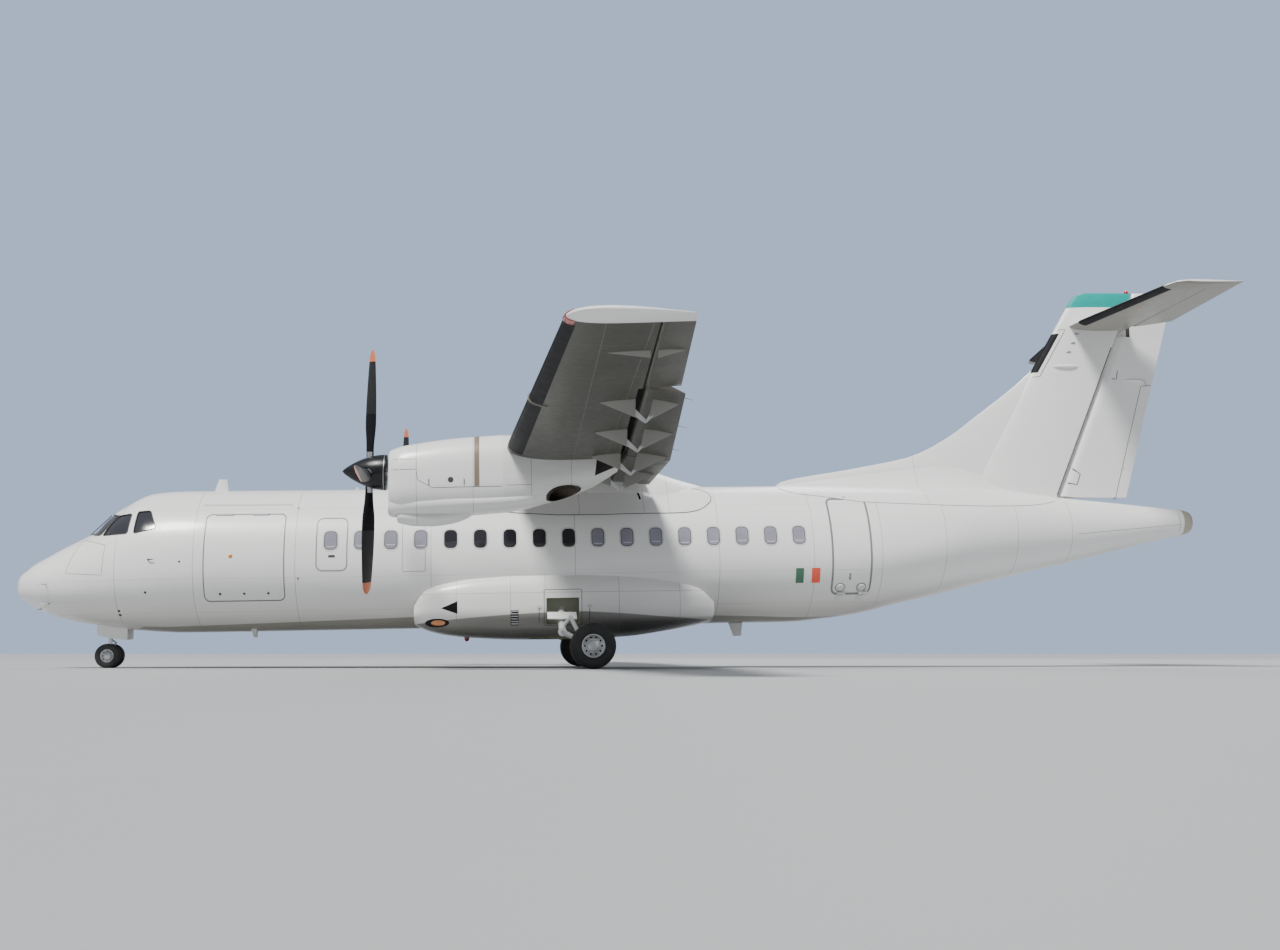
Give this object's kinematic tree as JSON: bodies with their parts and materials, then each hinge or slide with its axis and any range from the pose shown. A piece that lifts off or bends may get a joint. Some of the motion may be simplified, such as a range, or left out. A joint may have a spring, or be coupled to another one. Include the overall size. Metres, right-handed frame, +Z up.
{
  "type": "twin-turboprop regional airliner",
  "caption": "High-wing twin-turboprop regional airliner with a T-tail, parked on its gear, with opening doors, flaps, control surfaces, propellers and steered nose wheels.",
  "frame": {"origin": "on the ground under the middle of the aircraft's box", "axes": "+X towards the nose, +Y to port along the span, +Z up"},
  "size_m": [22.6197, 24.57, 7.5743],
  "materials": {
    "white_skin": "gloss paint",
    "grey_skin": "satin paint",
    "composite_white": "gloss paint over composite",
    "composite_grey": "satin paint over composite",
    "composite_teal": "gloss paint over composite",
    "glazing": "dark glazing",
    "engine_metal": "bare",
    "burnt_steel": "heat-stained",
    "propeller_black": "satin",
    "tyre": "matt",
    "gear_metal": "satin paint"
  },
  "bodies": {
    "airframe": {"radome": "composite_white", "fuselage_nose": "white_skin", "flight_deck_glazing": "glazing", "fuselage_forward": "white_skin", "fuselage_centre": "white_skin", "fuselage_aft": "white_skin", "service_door": "white_skin", "fuselage_tail": "white_skin", "tail_cone": "composite_white", "belly_fairing": "grey_skin", "wing_body_fairing": "white_skin", "wing_centre": "grey_skin", "wing_outer_left": "grey_skin", "wing_outer_right": "grey_skin", "cowling_left": "white_skin", "cowling_right": "white_skin", "nacelle_left": "white_skin", "nacelle_right": "white_skin", "exhaust_left": "burnt_steel", "exhaust_right": "burnt_steel", "engine_left": "engine_metal", "engine_right": "engine_metal", "fin": "composite_white", "fin_tip": "composite_teal", "tailplane": "composite_white", "nose_gear_door_left": "white_skin", "nose_gear_door_right": "white_skin", "nose_leg": "gear_metal", "main_leg_left": "gear_metal", "main_leg_right": "gear_metal", "main_gear_door_left": "white_skin", "main_gear_door_right": "white_skin"},
    "cargo_door": {"cargo_door": "white_skin"},
    "passenger_door": {"passenger_door": "white_skin"},
    "flap_inboard_left": {"flap_inboard_left": "grey_skin"},
    "flap_outboard_left": {"flap_outboard_left": "grey_skin"},
    "aileron_left": {"aileron_left": "grey_skin"},
    "elevator_left": {"elevator_left": "composite_grey"},
    "propeller_left": {"spinner_left": "propeller_black", "propeller_left": "propeller_black"},
    "main_wheels_left": {"main_wheel_rims_left": "gear_metal", "main_tyre_left_inner": "tyre", "main_tyre_left_outer": "tyre"},
    "flap_inboard_right": {"flap_inboard_right": "grey_skin"},
    "flap_outboard_right": {"flap_outboard_right": "grey_skin"},
    "aileron_right": {"aileron_right": "grey_skin"},
    "elevator_right": {"elevator_right": "composite_grey"},
    "propeller_right": {"spinner_right": "propeller_black", "propeller_right": "propeller_black"},
    "main_wheels_right": {"main_wheel_rims_right": "gear_metal", "main_tyre_right_inner": "tyre", "main_tyre_right_outer": "tyre"},
    "rudder": {"rudder": "composite_white"},
    "nose_steering": {"nose_fork": "gear_metal"},
    "nose_wheels": {"nose_wheel_rims": "gear_metal", "nose_tyre_left": "tyre", "nose_tyre_right": "tyre"}
  },
  "joints": [
    {"name": "cargo_door_swing", "type": "hinge", "parent": "airframe", "child": "cargo_door", "pos_m": [7.0333, 1.13349, 2.75327], "axis": [0.9998, 0, -0.0197], "range_deg": [0, 90]},
    {"name": "passenger_door_drop", "type": "hinge", "parent": "airframe", "child": "passenger_door", "pos_m": [-3.99575, 1.13666, 1.38471], "axis": [-0.9998, 0, 0.0197], "range_deg": [0, 128]},
    {"name": "flap_inboard_left_swing", "type": "hinge", "parent": "airframe", "child": "flap_inboard_left", "pos_m": [0.38906, 2.5, 3.11156], "axis": [0, -1, 0], "range_deg": [-12, 18]},
    {"name": "flap_inboard_right_swing", "type": "hinge", "parent": "airframe", "child": "flap_inboard_right", "pos_m": [0.38906, -2.5, 3.11156], "axis": [0, -1, 0], "range_deg": [-12, 18]},
    {"name": "flap_outboard_left_swing", "type": "hinge", "parent": "airframe", "child": "flap_outboard_left", "pos_m": [0.46959, 6.665, 3.26501], "axis": [-0.0355, -0.9971, -0.0675], "range_deg": [-12, 18]},
    {"name": "flap_outboard_right_swing", "type": "hinge", "parent": "airframe", "child": "flap_outboard_right", "pos_m": [0.46959, -6.665, 3.26501], "axis": [0.0355, -0.9971, 0.0675], "range_deg": [-12, 18]},
    {"name": "aileron_left_swing", "type": "hinge", "parent": "airframe", "child": "aileron_left", "pos_m": [0.62335, 10.49, 3.83559], "axis": [-0.0411, -0.998, -0.0484], "range_deg": [-14, 14]},
    {"name": "aileron_right_swing", "type": "hinge", "parent": "airframe", "child": "aileron_right", "pos_m": [0.62335, -10.49, 3.83559], "axis": [0.0411, -0.998, 0.0484], "range_deg": [-14, 14]},
    {"name": "elevator_left_swing", "type": "hinge", "parent": "airframe", "child": "elevator_left", "pos_m": [-10.15695, 1.83, 6.84971], "axis": [-0.0051, 1, 0.0001], "range_deg": [-13, 23]},
    {"name": "elevator_right_swing", "type": "hinge", "parent": "airframe", "child": "elevator_right", "pos_m": [-10.15695, -1.83, 6.84971], "axis": [0.0051, 1, -0.0001], "range_deg": [-13, 23]},
    {"name": "rudder_swing", "type": "hinge", "parent": "airframe", "child": "rudder", "pos_m": [-9.52034, 0, 5.19687], "axis": [-0.3866, 0, 0.9223], "range_deg": [-27, 27]},
    {"name": "propeller_left_spin", "type": "hinge", "parent": "airframe", "child": "propeller_left", "pos_m": [4.59124, 4.05, 3.18092], "axis": [0.9999, 0, 0.0152], "continuous": true},
    {"name": "propeller_right_spin", "type": "hinge", "parent": "airframe", "child": "propeller_right", "pos_m": [4.59124, -4.05, 3.18092], "axis": [0.9999, 0, 0.0152], "continuous": true},
    {"name": "nose_steering_turn", "type": "hinge", "parent": "airframe", "child": "nose_steering", "pos_m": [9.61544, 0, 0.55], "axis": [0, 0, 1], "range_deg": [-60, 60]},
    {"name": "nose_wheels_roll", "type": "hinge", "parent": "nose_steering", "child": "nose_wheels", "pos_m": [9.61544, 0, 0.22223], "axis": [0, 1, 0], "continuous": true},
    {"name": "main_wheels_left_roll", "type": "hinge", "parent": "airframe", "child": "main_wheels_left", "pos_m": [0.83714, 2.05, 0.40001], "axis": [0, 1, 0], "continuous": true},
    {"name": "main_wheels_right_roll", "type": "hinge", "parent": "airframe", "child": "main_wheels_right", "pos_m": [0.83714, -2.05, 0.40001], "axis": [0, 1, 0], "continuous": true}
  ],
  "couplings": [
    {"joint": "flap_inboard_right_swing", "follows": "flap_inboard_left_swing", "ratio": 1},
    {"joint": "flap_outboard_left_swing", "follows": "flap_inboard_left_swing", "ratio": 1},
    {"joint": "flap_outboard_right_swing", "follows": "flap_inboard_left_swing", "ratio": 1},
    {"joint": "aileron_right_swing", "follows": "aileron_left_swing", "ratio": -1},
    {"joint": "elevator_right_swing", "follows": "elevator_left_swing", "ratio": 1}
  ]
}
